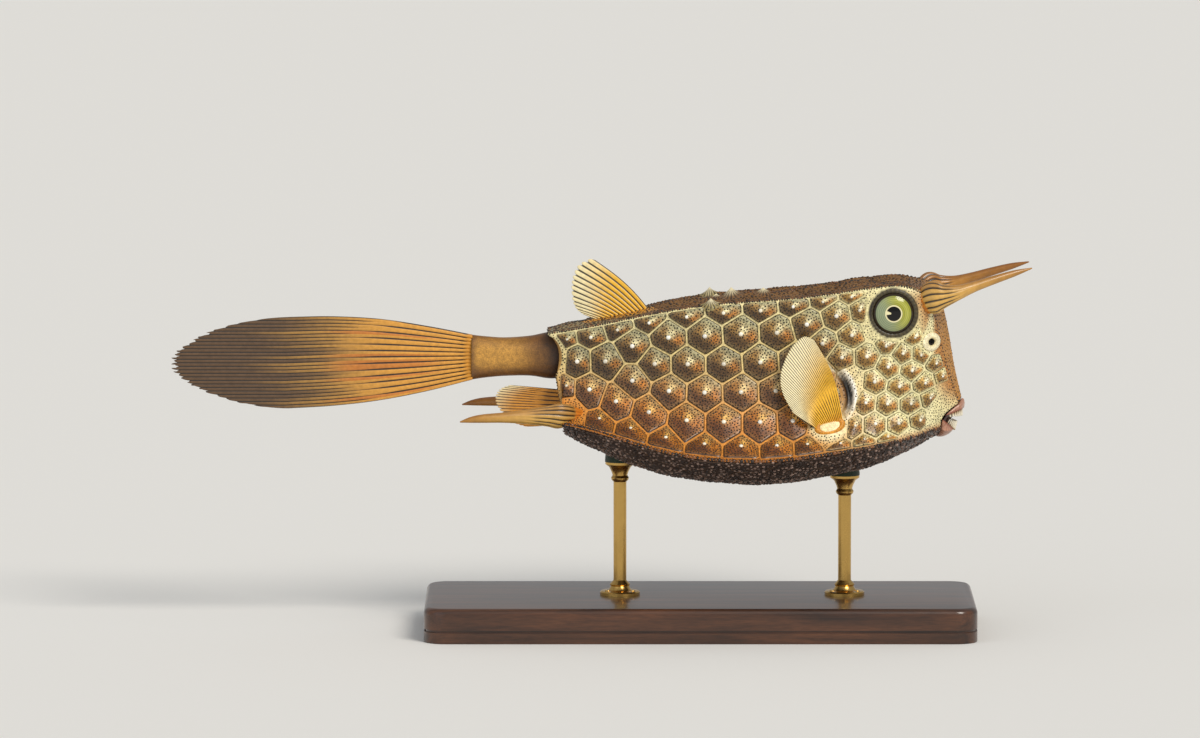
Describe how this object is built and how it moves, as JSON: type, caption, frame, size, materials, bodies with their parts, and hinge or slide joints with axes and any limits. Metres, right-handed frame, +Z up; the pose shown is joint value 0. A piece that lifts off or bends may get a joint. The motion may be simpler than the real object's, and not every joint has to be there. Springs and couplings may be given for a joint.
{
  "type": "longhorn cowfish",
  "caption": "Life-size longhorn cowfish: a boxy shell of hexagonal plates with long brow horns, rear spines, yellow fins and a fan tail, held as if swimming above a plain stand.",
  "frame": {"origin": "on the ground under the middle of the whole model's box, on the underside of the stand's base", "axes": "+X towards the snout along the body, +Y to the fish's left flank, +Z up"},
  "size_m": [0.344, 0.097, 0.1496],
  "materials": {
    "shell_plates": "bony shell of golden-brown domed plates with pale seams and black dots, satin varnish",
    "head_skin": "pale yellow skin with small black dots, satin",
    "tail_skin": "smooth golden-brown skin, darker at both ends",
    "tail_fin": "thin rayed membrane, orange-gold at the root to brown-black at the end",
    "yellow_fins": "thin translucent-looking yellow membrane with dark rays",
    "eyes": "polished yellow-green iris with a black pupil under a clear cornea",
    "horn": "ochre horny spine with a dark grooved root, satin",
    "lips": "pink-brown fleshy lips, slightly moist",
    "teeth": "off-white enamel",
    "stand_wood": "dark stained hardwood, satin lacquer",
    "stand_brass": "turned and polished rod, lightly brushed"
  },
  "bodies": {
    "root": {"carapace": "shell_plates", "head": "head_skin", "tail_peduncle": "tail_skin", "tail_fin": "tail_fin", "dorsal_fin": "yellow_fins", "anal_fin": "yellow_fins", "pectoral_fin_left": "yellow_fins", "pectoral_fin_right": "yellow_fins", "eye_left": "eyes", "eye_right": "eyes", "horn_left": "horn", "horn_right": "horn", "rear_spine_left": "horn", "rear_spine_right": "horn", "lip_upper": "lips", "lip_lower": "lips", "teeth_upper": "teeth", "teeth_lower": "teeth", "stand_base": "stand_wood", "stand_rod_front": "stand_brass", "stand_rod_rear": "stand_brass"}
  },
  "joints": []
}
